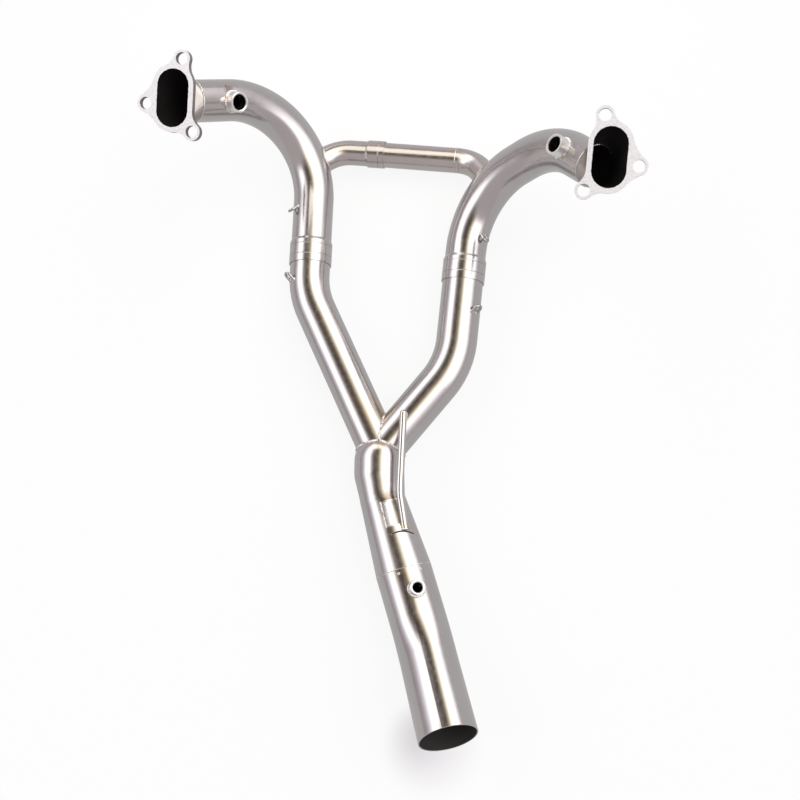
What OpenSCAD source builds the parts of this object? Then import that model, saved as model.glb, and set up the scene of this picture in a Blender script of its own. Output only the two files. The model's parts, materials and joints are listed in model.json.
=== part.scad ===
// Two-into-one exhaust header for a flat-twin motorcycle, all lengths in mm.
// It lies as it rests on a floor: x to the right, y to the front, z up.
// The tube runs are set out from the point where the three merge axes meet.

/* [Main tubes] */
// Outside diameter of the two header tubes and the two branch tubes
header_od = 45; // [38:0.5:50]
// Wall thickness of all the rolled and drawn tube
wall = 1.2; // [1:0.1:2]
// Centre line radius of the mandrel bends in the header and branch tubes
bend_radius = 90; // [80:1:95]

/* [Flanges] */
// Thickness of the two cylinder head flanges
flange_thickness = 8; // [6:0.5:12]
// Height of the flange faces above the plane of the branch tubes
port_height = 146; // [140:1:152]
// Rearward lean of the flange faces in degrees
flange_lean = 19; // [12:1:25]
// Outward cant of each flange face in degrees
flange_cant = 1; // [0:0.5:4]
// Width of the oval port
port_width = 34; // [30:0.5:38]
// Length of the oval port
port_length = 60; // [54:0.5:66]
// Width of the sealing land round the port
flange_land = 5.5; // [4.5:0.5:8]
// Diameter of the three stud holes in each flange
stud_hole_d = 12.8; // [8.5:0.1:13]
// Radius of the rounded lug round each stud hole
lug_radius = 9.2; // [8.8:0.2:11]
// Distance between the two inner stud holes
stud_span = 76; // [70:0.5:80]
// Distance of the outer stud hole from the middle of the two inner ones
stud_reach = 46; // [44:0.5:50]
// Turn of the two inner stud holes about the middle between them in degrees
stud_turn = 11; // [5:1:15]
// Turn of the outer stud hole about the same middle in degrees
outer_turn = 13; // [5:1:17]
// Radius of the hollow blends between the two inner lugs and the body
lug_blend = 18; // [12:1:24]
// Radius of the hollow blends between the outer lug and the body
outer_blend = 36; // [24:1:44]

/* [Slip joints] */
// Length of the expanded mouth on each header tube
collar_length = 29; // [24:1:34]
// Length of the taper that leads into the expanded mouth
collar_taper = 4; // [3:0.5:6]
// Radial clearance between the expanded mouth and the tube in it
slip_clearance = 0.15; // [0.1:0.05:0.3]
// Depth to which the branch tube is pushed into the mouth
slip_depth = 24; // [18:1:28]

/* [Crossover] */
// Outside diameter of the crossover tube
crossover_od = 28; // [25:0.5:32]
// Centre line radius of the crossover bends
crossover_bend = 40; // [32:1:44]
// Length of the expanded socket on the left stub
socket_length = 22; // [18:1:26]
// Depth to which the crossover tube is pushed into the socket
socket_depth = 18; // [12:1:20]

/* [Sensor bosses] */
// Outside diameter of the two sensor bosses on the header tubes
sensor_boss_od = 22; // [20:0.5:24]
// Height of the sensor bosses above the tube wall
sensor_boss_height = 11; // [8:0.5:13]
// Thread bore of the sensor bosses, cored for M18x1.5
sensor_bore_d = 16.5; // [14:0.1:17]
// Outside diameter of the small boss on the outlet tube
probe_boss_od = 16; // [14:0.5:20]
// Height of the small boss above the tube wall
probe_boss_height = 9; // [6:0.5:11]
// Thread bore of the small boss, cored for M12x1.25
probe_bore_d = 10.7; // [8:0.1:12]

/* [Collector and outlet] */
// Outside diameter of the domed collector shell
shell_od = 54; // [52:0.5:56]
// Outside diameter at the waist of the collector
waist_od = 48.8; // [47:0.2:50]
// Outside diameter of the outlet tube
outlet_od = 60; // [57:0.5:61]
// Growth in diameter of the expanded end of the outlet tube
outlet_growth = 1.6; // [0.4:0.1:2.4]
// Length of the expanded end of the outlet tube
outlet_end_length = 80; // [60:1:85]
// Radius of the relief trough pressed into the collector
relief_radius = 18; // [15:0.5:20]
// Depth of the relief trough at its lower end
relief_depth = 6.5; // [5:0.5:8]
// Length of the relief trough
relief_length = 29; // [24:1:34]
// Diameter of the brace rod
brace_rod_d = 8; // [6:0.5:9]

/* [Spring hooks] */
// Wire diameter of the spring hooks
hook_wire_d = 3; // [2.5:0.1:3.5]
// Inside width of a spring hook
hook_width = 5; // [4:0.5:7]
// Straight length of the hook legs above the tube
hook_leg = 5; // [4:0.5:8]
// Lean of the hooks toward the slip joint in degrees
hook_lean = 40; // [20:1:50]

/* [Hidden] */
$fn = 40;
big = 400;
eps = 0.02;
// A bent length stands this far proud of the straights it swallows at each end
bend_step = 0.03;
bend_lap = 1;

header_r = header_od / 2;
header_bore_r = header_r - wall;
collar_bore_r = header_r + slip_clearance;
collar_r = collar_bore_r + wall;
crossover_r = crossover_od / 2;
crossover_bore_r = crossover_r - wall;
socket_bore_r = crossover_r + slip_clearance;
socket_r = socket_bore_r + wall;
shell_r = shell_od / 2;
waist_r = waist_od / 2;
outlet_r = outlet_od / 2;
rod_r = brace_rod_d / 2;
elbow_bend = crossover_bend * 0.85;

// Depth by which a blend circle bites into the circles it blends
blend_bite = 0.05;
// Middle between the two inner stud holes, measured from the middle of the port
stud_middle = [15.5, 3.5];

// Node points of the tube runs, measured from the merge point
left_port = [-243, 330, port_height];
right_port = [216, 295, port_height];
left_neck_end = left_port + [13, 9, -26];
right_neck_end = right_port + [-15, 0, -25];
left_knee = [-124, 405, 0];
left_elbow = [-104, 170, 0];
right_shoulder = right_port + [-60, 39, -66];
right_knee = [66, 303, 0];
right_elbow = [69, 104, 0];
merge = [0, 0, 0];
left_slip_at = 203;
right_slip_at = 197;

// How far before the first bend the sensor bosses sit, and the sides they face
left_boss_before_bend = 8.7;
left_boss_side = [0.79, -0.27, 0.55];
right_boss_before_bend = 0.1;
right_boss_side = [-0.67, 0.02, 0.74];
// The hole drilled in the tube under a boss is narrower than the thread bore by this radius
boss_hole_step = 0.22;
boss_chamfer = 0.6;
thread_lead_in = 1;

// Places of the spring hooks: after the left bend or below the mouths, and the sides they face
left_upper_hook_after_bend = 10.8;
left_lower_hook_drop = 22;
right_lower_hook_drop = 37;
// The right upper hook sits this many degrees before the end of its bend
right_upper_hook_back = 15;
left_hook_side = [-cos(40), 0, sin(40)];
right_hook_side = [cos(38), 0, sin(38)];
// Depth inside the tube wall from which the hook legs are drawn before they are trimmed
hook_root = 1.5;
hook_stub = 2;

// Node points of the crossover
left_stub_root = [-122, 317, 6];
left_stub_knee = [-92, 342, -4];
stub_mouth = [-39, 342, -4];
socket_taper = 3.5;
crossover_joint = [43, 341, -4];
right_stub_knee = [62, 341, -4];
right_stub_root = [92, 304, 23];

// Node points of the collector and the outlet tube
dome = [0.8, -10, 3];
shell_kink = [2.4, -24, 3.2];
waist = [9.8, -52, 3.4];
outlet_knee = [71, -190, 7];
outlet_mouth = [113, -285, 50];
outlet_bend = 120;
shell_bend = 34;
cone_length = 80;
// Plain length at the very mouth of the expanded end
outlet_lip = 4;
outlet_boss_at = 104.5;
outlet_boss_side = [0.31, 0.16, 0.94];
// The branch openings in the dome overlap by this much at the mitre and end at this y
opening_overlap = 0.5;
opening_end = -8;
relief_start = 6;
relief_side = [0.35, 0.1, 0.93];

// Node points of the brace rod
rod_top = [24, 40, 26.4];
rod_kink = [31, -45, 30];
rod_foot = [41, -82, 25.6];
rod_bend = 60;

// Shift that puts the origin at the middle of the footprint on the floor
floor_shift = [13.5, -42.33, 24.65];

function unit(v) = v / norm(v);
function turn(a, b, c) = acos(unit(b - a) * unit(c - b));
function set_back(a, b, c, r) = r * tan(turn(a, b, c) / 2);
function bend_in(a, b, c, r) = b - unit(b - a) * set_back(a, b, c, r);
function bend_out(a, b, c, r) = b + unit(c - b) * set_back(a, b, c, r);
// Middle of the tube at an angle into a bend, and its heading there
function bend_across(a, b, c) = cross(unit(cross(b - a, c - b)), unit(b - a));
function bend_point(a, b, c, r, t) = bend_in(a, b, c, r)
    + r * ((1 - cos(t)) * bend_across(a, b, c) + sin(t) * unit(b - a));
function bend_heading(a, b, c, t) = cos(t) * unit(b - a) + sin(t) * bend_across(a, b, c);
// Where the seam of a tube lies round a bend, and which way it faces along each straight
function seam_angle(a, b, c, side) = let (w = unit(cross(b - a, c - b)))
    atan2(side * w, side * -bend_across(a, b, c));
function seam_after(a, b, c, side) = let (
    w = unit(cross(b - a, c - b)),
    t = turn(a, b, c),
    q = seam_angle(a, b, c, side))
    cos(q) * (-cos(t) * bend_across(a, b, c) + sin(t) * unit(b - a)) + sin(q) * w;
function square_to(dir, v) = unit(v - unit(dir) * (v * unit(dir)));
function seam_side(p, i) = i == 0 ? square_to(p[1] - p[0], [0, 0, 1])
    : seam_after(p[i - 1], p[i], p[i + 1], seam_side(p, i - 1));
// Point on the line from a to b whose y is the value given
function at_y(a, b, y) = a + (b - a) * (y - a.y) / (b.y - a.y);

left_mouth = at_y(left_knee, left_elbow, left_slip_at);
right_mouth = at_y(right_knee, right_elbow, right_slip_at);
left_slip_dir = unit(left_elbow - left_knee);
right_slip_dir = unit(right_elbow - right_knee);
seam = waist + unit(outlet_knee - waist) * cone_length;
outlet_dir = unit(outlet_mouth - outlet_knee);

// Stands its children on point a with their z axis toward point b
module along(a, b) {
    d = unit(b - a);
    translate(a) rotate([0, acos(d.z), atan2(d.y, d.x)]) children();
}

// Stands its children at p with z along the tube and x out through its wall toward side
module on_tube(p, dir, side) {
    z = unit(dir);
    x = unit(side - z * (side * z));
    y = cross(z, x);
    multmatrix([[x.x, y.x, z.x, p.x], [x.y, y.y, z.y, p.y], [x.z, y.z, z.z, p.z], [0, 0, 0, 1]])
        children();
}

// Frame of a bend: z is the axis of the bend, the run starts at [r, 0, 0] along y
module on_bend(a, b, c, r) {
    u = unit(b - a);
    w = unit(cross(u, unit(c - b)));
    e = cross(u, w);
    o = bend_in(a, b, c, r) - e * r;
    multmatrix([[e.x, u.x, w.x, o.x], [e.y, u.y, w.y, o.y], [e.z, u.z, w.z, o.z], [0, 0, 0, 1]])
        children();
}

module ring(outer, inner) {
    difference() {
        circle(outer);
        if (inner > 0) circle(inner);
    }
}

// Tube from a to b whose seam faces side
module straight(a, b, outer, inner = 0, side = [0, 0, 1]) {
    on_tube(a, b - a, side) linear_extrude(norm(b - a)) ring(outer, inner);
}

module bend(a, b, c, r, outer, inner = 0, side = [0, 0, 1]) {
    on_bend(a, b, c, r) rotate_extrude(angle = turn(a, b, c)) translate([r, 0])
        rotate(seam_angle(a, b, c, side)) ring(outer + bend_step, max(inner - bend_step, 0));
}

// One bent tube through the given points: straights that run a little way into the bends
module run(p, radii, outer, inner = 0) {
    last = len(p) - 1;
    for (i = [0 : last - 1]) {
        lap = unit(p[i + 1] - p[i]) * bend_lap;
        start = i == 0 ? p[0] : bend_out(p[i - 1], p[i], p[i + 1], radii[i - 1]) - lap;
        end = i == last - 1 ? p[last] : bend_in(p[i], p[i + 1], p[i + 2], radii[i]) + lap;
        straight(start, end, outer, inner, seam_side(p, i));
    }
    for (i = [1 : last - 1])
        bend(p[i - 1], p[i], p[i + 1], radii[i - 1], outer, inner, seam_side(p, i - 1));
}

// Everything on the far side of the plane through p facing along d
module half_space(p, d) {
    along(p, p + d) translate([-big / 2, -big / 2, 0]) cube(big);
}

// Flanges

module flange_frame(port, side) {
    translate(port) rotate([flange_lean, 0, 0]) mirror([side > 0 ? 1 : 0, 0, 0])
        rotate([0, -flange_cant, 0]) children();
}

// Centre of the outer stud hole, or of the front or rear inner one
function stud(k) = stud_middle + (k == 0
    ? stud_reach * [-cos(outer_turn), -sin(outer_turn)]
    : (k == 1 ? 1 : -1) * stud_span / 2 * [-sin(stud_turn), cos(stud_turn)]);

// Centre of the blend circle that touches lug a and body end b on the given side
function blend_centre(a, b, ra, rb, side) = let (
    d = norm(b - a),
    m = (d * d + ra * ra - rb * rb) / (2 * d),
    h = sqrt(ra * ra - m * m),
    u = (b - a) / d)
    a + m * u + side * h * [-u.y, u.x];

// Web between a lug and the body, which starts at the ends a and b, hollowed on both sides
module lug_web(lug, a, b, body_r, blend) {
    to_lug = lug_radius + blend - blend_bite;
    to_body = body_r + blend - blend_bite;
    f = blend_centre(lug, a, to_lug, to_body, -1);
    g = blend_centre(lug, b, to_lug, to_body, 1);
    difference() {
        polygon([lug, f, a, b, g]);
        translate(f) circle(blend, $fn = 96);
        translate(g) circle(blend, $fn = 96);
    }
}

module port_oval(grow) {
    r = port_width / 2 + grow;
    s = (port_length - port_width) / 2;
    translate([0, s]) circle(r);
    translate([0, -s]) circle(r);
    translate([-r, -s]) square([2 * r, 2 * s]);
}

module flange_outline() {
    body_r = port_width / 2 + flange_land;
    top = [0, (port_length - port_width) / 2];
    port_oval(flange_land);
    for (k = [0 : 2]) translate(stud(k)) circle(lug_radius);
    lug_web(stud(0), -top, top, body_r, outer_blend);
    lug_web(stud(1), top, top + [eps, 0], body_r, lug_blend);
    lug_web(stud(2), [eps, 0] - top, -top, body_r, lug_blend);
}

module flange(port, side) {
    color("#e6e2e8") flange_frame(port, side) translate([0, 0, -flange_thickness])
        linear_extrude(flange_thickness) difference() {
            flange_outline();
            port_oval(0);
            for (k = [0 : 2]) translate(stud(k)) circle(stud_hole_d / 2);
        }
}

module left_flange() flange(left_port, -1);

module right_flange() flange(right_port, 1);

// Necks between the oval ports and the round tubes

module neck_body(port, side, a, b, grow, past) {
    hull() {
        flange_frame(port, side) translate([0, 0, -flange_thickness - eps])
            linear_extrude(eps + past) port_oval(wall + grow);
        along(a, b) translate([0, 0, -eps])
            linear_extrude(eps + past / 10) circle(header_r + grow);
    }
}

module neck(port, side, a, b) {
    color("#b9b2ad") difference() {
        neck_body(port, side, a, b, 0, 0, $fn = 32);
        neck_body(port, side, a, b, -wall, 1, $fn = 32);
    }
}

module left_neck() neck(left_port, -1, left_neck_end, left_knee);

module right_neck() neck(right_port, 1, right_neck_end, right_shoulder);

// Header tubes with their expanded mouths

left_header_path = [left_neck_end, left_knee, left_mouth - left_slip_dir * collar_length];
right_header_path = [right_neck_end, right_shoulder, right_knee,
    right_mouth - right_slip_dir * collar_length];

// Expanded end of a tube whose bore grows from r to mouth_r over the taper
module expanded_end(mouth, dir, length, taper, r, mouth_r, side) {
    on_tube(mouth - dir * length, dir, side) rotate_extrude() polygon([
        [r - bend_step, -bend_lap], [r + wall + bend_step, -bend_lap],
        [r + wall + bend_step, bend_lap], [mouth_r + wall, taper], [mouth_r + wall, length],
        [mouth_r, length], [mouth_r, taper + wall / 2], [r - bend_step, bend_lap + wall / 2]]);
}

module header_tube(path, radii, mouth, dir) {
    run(path, radii, header_r, header_bore_r);
    expanded_end(mouth, dir, collar_length, collar_taper, header_bore_r, collar_bore_r,
        seam_side(path, len(path) - 2));
}

module left_header_tube() {
    color("#aaa29c") difference() {
        header_tube(left_header_path, [bend_radius], left_mouth, left_slip_dir);
        left_boss_frame() cylinder(h = 2 * header_r, r = sensor_bore_d / 2 - boss_hole_step);
        straight(left_stub_root, left_stub_knee, crossover_bore_r);
    }
}

module right_header_tube() {
    color("#aaa29c") difference() {
        header_tube(right_header_path, [bend_radius, bend_radius], right_mouth, right_slip_dir);
        right_boss_frame() cylinder(h = 2 * header_r, r = sensor_bore_d / 2 - boss_hole_step);
        straight(right_stub_root, right_stub_knee, crossover_bore_r);
    }
}

// Sensor bosses

// Frame on a straight of tube at a distance from a: z points out through the wall
module boss_frame(a, b, distance, side) {
    d = unit(b - a);
    on_tube(a + d * distance, d, side) rotate([0, 90, 0]) children();
}

module left_boss_frame()
    boss_frame(left_neck_end, left_knee, norm(left_knee - left_neck_end)
        - set_back(left_neck_end, left_knee, left_elbow, bend_radius) - left_boss_before_bend,
        left_boss_side) children();

module right_boss_frame()
    boss_frame(right_neck_end, right_shoulder, norm(right_shoulder - right_neck_end)
        - set_back(right_neck_end, right_shoulder, right_knee, bend_radius)
        - right_boss_before_bend, right_boss_side) children();

module boss(od, bore, top) {
    rotate_extrude() polygon([[bore / 2, 0], [od / 2, 0], [od / 2, top - boss_chamfer],
        [od / 2 - boss_chamfer, top], [bore / 2 + thread_lead_in, top],
        [bore / 2, top - thread_lead_in]]);
}

module left_sensor_boss() {
    color("#c9c5c2") difference() {
        left_boss_frame() boss(sensor_boss_od, sensor_bore_d, header_r + sensor_boss_height);
        straight(left_neck_end, left_knee, header_r);
    }
}

module right_sensor_boss() {
    color("#c9c5c2") difference() {
        right_boss_frame() boss(sensor_boss_od, sensor_bore_d, header_r + sensor_boss_height);
        run(right_header_path, [bend_radius, bend_radius], header_r);
    }
}

// Spring hooks: a closed staple of wire welded to the tube by both feet

module spring_hook(p, dir, side, lean) {
    r = (hook_width + hook_wire_d) / 2;
    leg = hook_leg + hook_stub;
    on_tube(p, dir, side) translate([header_r - hook_root, 0, 0]) rotate([0, lean, 0]) {
        for (s = [-1, 1]) translate([0, s * r, 0]) rotate([0, 90, 0])
            cylinder(h = leg, d = hook_wire_d);
        translate([leg - bend_step, 0, 0]) rotate([0, 0, -90])
            rotate_extrude(angle = 180) translate([r, 0]) circle(hook_wire_d / 2 + bend_step);
    }
}

module left_upper_hook() {
    p = bend_out(left_neck_end, left_knee, left_elbow, bend_radius)
        + left_slip_dir * left_upper_hook_after_bend;
    color("#b3aca6") difference() {
        spring_hook(p, left_slip_dir, left_hook_side, -hook_lean);
        straight(p - left_slip_dir * header_r, p + left_slip_dir * header_r, header_r);
    }
}

module left_lower_hook() {
    p = at_y(left_knee, left_elbow, left_slip_at - left_lower_hook_drop);
    color("#b3aca6") difference() {
        spring_hook(p, left_slip_dir, left_hook_side, hook_lean);
        bend(left_mouth, left_elbow, merge, bend_radius, header_r);
    }
}

module right_upper_hook() {
    along_bend = turn(right_shoulder, right_knee, right_mouth) - right_upper_hook_back;
    p = bend_point(right_shoulder, right_knee, right_mouth, bend_radius, along_bend);
    dir = bend_heading(right_shoulder, right_knee, right_mouth, along_bend);
    color("#b3aca6") difference() {
        spring_hook(p, dir, right_hook_side, -hook_lean);
        bend(right_shoulder, right_knee, right_mouth, bend_radius, header_r);
    }
}

module right_lower_hook() {
    p = at_y(right_knee, right_elbow, right_slip_at - right_lower_hook_drop);
    color("#b3aca6") difference() {
        spring_hook(p, right_slip_dir, right_hook_side, hook_lean);
        straight(p - right_slip_dir * header_r, p + right_slip_dir * header_r, header_r);
    }
}

// Crossover

module crossover_left_stub() {
    path = [left_stub_root, left_stub_knee, stub_mouth - [socket_length, 0, 0]];
    color("#a59d97") difference() {
        union() {
            run(path, [crossover_bend], crossover_r, crossover_bore_r);
            expanded_end(stub_mouth, [1, 0, 0], socket_length, socket_taper,
                crossover_bore_r, socket_bore_r, seam_side(path, 1));
        }
        bend(left_neck_end, left_knee, left_mouth, bend_radius, header_r);
    }
}

module crossover_tube() {
    color("#a59d97")
        straight(stub_mouth - [socket_depth, 0, 0], crossover_joint, crossover_r, crossover_bore_r);
}

module crossover_right_elbow() {
    color("#a59d97") difference() {
        run([crossover_joint, right_stub_knee, right_stub_root], [elbow_bend],
            crossover_r, crossover_bore_r);
        bend(right_shoulder, right_knee, right_mouth, bend_radius, header_r);
    }
}

// Branch tubes

left_branch_path = [left_mouth - left_slip_dir * slip_depth, left_elbow, merge];
right_branch_path = [right_mouth - right_slip_dir * slip_depth, right_elbow, merge];
left_branch_dir = unit(left_elbow - merge);
right_branch_dir = unit(right_elbow - merge);
// Sideways normal of the plane in which the two branch tubes are mitred
mitre = unit(right_branch_dir - left_branch_dir);

module left_branch_tube() {
    color("#aaa29c") difference() {
        run(left_branch_path, [bend_radius], header_r, header_bore_r);
        half_space(merge, mitre);
        dome_solid(shell_r);
    }
}

module right_branch_tube() {
    color("#aaa29c") difference() {
        run(right_branch_path, [bend_radius], header_r, header_bore_r);
        half_space(merge, -mitre);
        dome_solid(shell_r);
    }
}

// Collector shell

shell_path = [dome, shell_kink, waist, seam];

// Domed start of the shell: a ball running on into a short cylinder
module dome_solid(r) {
    length = norm(bend_in(dome, shell_kink, waist, shell_bend) - dome) + bend_lap;
    on_tube(dome, shell_kink - dome, seam_side(shell_path, 0)) rotate_extrude() intersection() {
        union() {
            circle(r);
            square([r, length]);
        }
        translate([0, -r]) square([r, r + length]);
    }
}

// Taper from a to b with a short straight lap at each end
module taper(a, b, r1, r2, side) {
    length = norm(b - a);
    on_tube(a, b - a, side) rotate_extrude() polygon([[0, -bend_lap], [r1, -bend_lap], [r1, 0],
        [r2, length], [r2, length + bend_lap], [0, length + bend_lap]]);
}

module shell_solid(inset) {
    dome_solid(shell_r - inset);
    bend(dome, shell_kink, waist, shell_bend, shell_r - inset, 0, seam_side(shell_path, 0));
    taper(bend_out(dome, shell_kink, waist, shell_bend),
        bend_in(shell_kink, waist, seam, shell_bend),
        shell_r - inset, waist_r - inset, seam_side(shell_path, 1));
    bend(shell_kink, waist, seam, shell_bend, waist_r - inset, 0, seam_side(shell_path, 1));
    cone_solid(inset);
}

// Last length of the shell, which opens out to the size of the outlet tube
module cone_solid(inset) {
    start = bend_out(shell_kink, waist, seam, shell_bend);
    length = norm(seam - start);
    past = inset > 0 ? 1 : 0;
    on_tube(start, seam - start, seam_side(shell_path, 2)) rotate_extrude() polygon([
        [0, -bend_lap], [waist_r - inset, -bend_lap], [waist_r - inset, 0],
        [outlet_r - inset, length], [outlet_r - inset, length + past], [0, length + past]]);
}

// Opening that one branch bore makes in the dome, stopped at the mitre
module branch_opening(elbow, side) {
    d = unit(elbow - merge);
    difference() {
        straight(merge - d * shell_r, elbow, header_bore_r);
        half_space(merge - mitre * side * opening_overlap, mitre * -side);
        half_space([0, opening_end, 0], [0, -1, 0]);
    }
}

// Frame of the relief trough: z runs down the cone, x points out of it
module relief_frame() {
    on_tube(waist, seam - waist, relief_side) translate([relief_offset, 0, relief_start])
        children();
}

relief_end_r = waist_r + (outlet_r - waist_r) * (relief_start + relief_length) / cone_length;
relief_offset = relief_end_r + relief_radius - relief_depth;

module collector_shell() {
    color("#b2aaa3") difference() {
        shell_solid(0);
        shell_solid(wall);
        branch_opening(left_elbow, -1);
        branch_opening(right_elbow, 1);
        relief_frame() cylinder(h = relief_length, r = relief_radius);
    }
}

module relief_plate() {
    color("#bdb7b3") difference() {
        intersection() {
            relief_frame() cylinder(h = relief_length, r = relief_radius);
            cone_solid(0);
        }
        relief_frame() translate([0, 0, wall])
            cylinder(h = relief_length - 2 * wall, r = relief_radius - wall);
    }
}

// Outlet tube and its boss

module outlet_tube() {
    bore_r = outlet_r - wall;
    path = [seam, outlet_knee, outlet_mouth - outlet_dir * outlet_end_length];
    color("#aaa29c") difference() {
        union() {
            run(path, [outlet_bend], outlet_r, bore_r);
            expanded_end(outlet_mouth, outlet_dir, outlet_end_length, outlet_end_length - outlet_lip,
                bore_r, bore_r + outlet_growth / 2, seam_side(path, 1));
        }
        outlet_boss_frame() cylinder(h = 2 * outlet_r, r = probe_bore_d / 2 - boss_hole_step);
    }
}

module outlet_boss_frame()
    boss_frame(waist, outlet_knee, outlet_boss_at, outlet_boss_side) children();

module outlet_boss() {
    color("#c9c5c2") difference() {
        outlet_boss_frame() boss(probe_boss_od, probe_bore_d, outlet_r + probe_boss_height);
        straight(seam, outlet_knee, outlet_r);
    }
}

// Brace rod

module brace_rod() {
    color("#c4bfbb") difference() {
        union() {
            run([rod_top, rod_kink, rod_foot], [rod_bend], rod_r);
            translate(rod_top) sphere(rod_r + bend_step);
        }
        straight(merge, right_elbow, header_r);
        difference() {
            cone_solid(0);
            relief_frame() translate([0, 0, wall])
                cylinder(h = relief_length - 2 * wall, r = relief_radius - wall);
        }
    }
}

// The whole header

translate(floor_shift) {
    left_flange();
    right_flange();
    left_neck();
    right_neck();
    left_header_tube();
    right_header_tube();
    left_sensor_boss();
    right_sensor_boss();
    left_upper_hook();
    right_upper_hook();
    crossover_left_stub();
    crossover_tube();
    crossover_right_elbow();
    left_branch_tube();
    right_branch_tube();
    left_lower_hook();
    right_lower_hook();
    collector_shell();
    relief_plate();
    outlet_tube();
    outlet_boss();
    brace_rod();
}
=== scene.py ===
import json
import math
import random

import bpy
from mathutils import Matrix, Vector


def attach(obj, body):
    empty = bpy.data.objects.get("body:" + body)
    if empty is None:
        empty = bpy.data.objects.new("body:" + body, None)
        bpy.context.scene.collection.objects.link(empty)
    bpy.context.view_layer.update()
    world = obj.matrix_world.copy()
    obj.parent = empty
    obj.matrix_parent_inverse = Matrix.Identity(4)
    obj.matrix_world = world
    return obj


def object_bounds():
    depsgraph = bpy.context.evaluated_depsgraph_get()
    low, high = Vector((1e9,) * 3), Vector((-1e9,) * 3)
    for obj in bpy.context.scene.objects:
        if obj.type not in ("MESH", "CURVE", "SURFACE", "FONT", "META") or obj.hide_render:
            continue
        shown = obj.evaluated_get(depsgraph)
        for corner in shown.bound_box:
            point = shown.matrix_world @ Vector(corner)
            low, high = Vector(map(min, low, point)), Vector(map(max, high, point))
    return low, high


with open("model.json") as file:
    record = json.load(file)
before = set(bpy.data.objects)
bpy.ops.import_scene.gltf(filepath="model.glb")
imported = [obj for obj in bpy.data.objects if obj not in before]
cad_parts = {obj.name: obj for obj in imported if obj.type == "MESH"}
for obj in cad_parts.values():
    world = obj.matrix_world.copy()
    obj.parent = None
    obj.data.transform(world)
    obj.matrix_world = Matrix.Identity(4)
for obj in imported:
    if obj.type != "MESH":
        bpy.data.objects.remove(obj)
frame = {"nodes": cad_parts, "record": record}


# Camera
# A 56 mm lens 1.36 m above the header, tipped towards its rear and its left side. The merge
# point, where the axes of both branch tubes and the collector meet, lies below the middle
# of the view and a little to the left of it. Places are in millimetres from that point.
MERGE_POINT = Vector((13.5, -42.33, 24.65))
MILLIMETRE = 0.001
LENS = 56.25
LENS_TO_MERGE = Vector((-21.4, -56.3, -1357.3))
TIP_FORWARD = math.radians(10.675)
TIP_SIDEWAYS = math.radians(9.022)
ROLL = math.radians(5.511)
VIEW_DEPTH = 100


def place(x, y, z):
    return (Vector((x, y, z)) + MERGE_POINT) * MILLIMETRE


camera_turn = (Matrix.Rotation(TIP_FORWARD, 3, "X") @ Matrix.Rotation(TIP_SIDEWAYS, 3, "Y")
               @ Matrix.Rotation(ROLL, 3, "Z"))
bpy.ops.object.camera_add(location=place(*(camera_turn @ -LENS_TO_MERGE)))
camera = bpy.context.object
camera.rotation_euler = camera_turn.to_euler()
camera.data.lens = LENS
camera.data.clip_end = VIEW_DEPTH
bpy.context.scene.camera = camera
bpy.context.scene.view_settings.view_transform = "Standard"


# Floor
# A large sheet of white board. The camera sees it glow nearly white, the polished metal
# sees it greyer, and it keeps a light grey shadow under the header.
FLOOR_SIZE = 60.0
BOARD_WHITE = (0.78, 0.78, 0.80, 1)
# How much of the board is glow and not paint, and how bright the metal sees that glow
GLOW_SHARE = 0.88
GLOW_IN_METAL = 0.60
# The board doesn't glow below the open end of the outlet, where the shadow shows
SHADED_SHARE = 0.0
SHADED_REACH = (0.01, 0.06)
UNDER_MOUTH = place(90, -304, -24.65)


def add_node(tree, kind, inputs=(), **settings):
    made = tree.nodes.new(kind)
    for name, value in settings.items():
        setattr(made, name, value)
    for socket, value in dict(inputs).items():
        if isinstance(value, bpy.types.NodeSocket):
            tree.links.new(value, made.inputs[socket])
        else:
            made.inputs[socket].default_value = value
    return made


def calculate(tree, operation, *numbers):
    return add_node(tree, "ShaderNodeMath", dict(enumerate(numbers)),
                    operation=operation).outputs[0]


def product(tree, first, second):
    return calculate(tree, "MULTIPLY", first, second)


def join_vectors(tree, operation, *vectors):
    """The vector that the operation makes from these vectors."""
    return add_node(tree, "ShaderNodeVectorMath", dict(enumerate(vectors)),
                    operation=operation).outputs["Vector"]


def measure_vectors(tree, operation, *vectors):
    """The number that the operation makes from these vectors."""
    return add_node(tree, "ShaderNodeVectorMath", dict(enumerate(vectors)),
                    operation=operation).outputs["Value"]


def span(tree, value, low, high, at_low, at_high):
    """Goes smoothly from at_low to at_high while the value goes from low to high."""
    return add_node(tree, "ShaderNodeMapRange", {"Value": value, "From Min": low,
                    "From Max": high, "To Min": at_low, "To Max": at_high},
                    interpolation_type="SMOOTHSTEP").outputs[0]


def object_spot(tree):
    return add_node(tree, "ShaderNodeTexCoord").outputs["Object"]


cad_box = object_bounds()
bpy.ops.mesh.primitive_plane_add(size=FLOOR_SIZE, location=(0, 0, cad_box[0][2]))
floor = bpy.context.object
floor.name = "floor_board"
bpy.ops.object.transform_apply()
board = bpy.data.materials.new("white_board")
board.use_nodes = True
tree = board.node_tree
tree.nodes.clear()
rays = add_node(tree, "ShaderNodeLightPath").outputs
mirrored = calculate(tree, "MAXIMUM", rays["Is Glossy Ray"], rays["Is Transmission Ray"])
seen = calculate(tree, "MAXIMUM", rays["Is Camera Ray"], mirrored)
away = measure_vectors(tree, "DISTANCE", object_spot(tree), UNDER_MOUTH)
clear = span(tree, away, *SHADED_REACH, SHADED_SHARE, GLOW_SHARE)
brightness = calculate(tree, "MULTIPLY_ADD", mirrored, GLOW_IN_METAL - 1.0, 1.0)
paint = add_node(tree, "ShaderNodeBsdfDiffuse", {"Color": BOARD_WHITE})
glow = add_node(tree, "ShaderNodeEmission", {"Strength": brightness})
mixed = add_node(tree, "ShaderNodeMixShader", {0: product(tree, seen, clear),
                 1: paint.outputs[0], 2: glow.outputs[0]})
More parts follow.
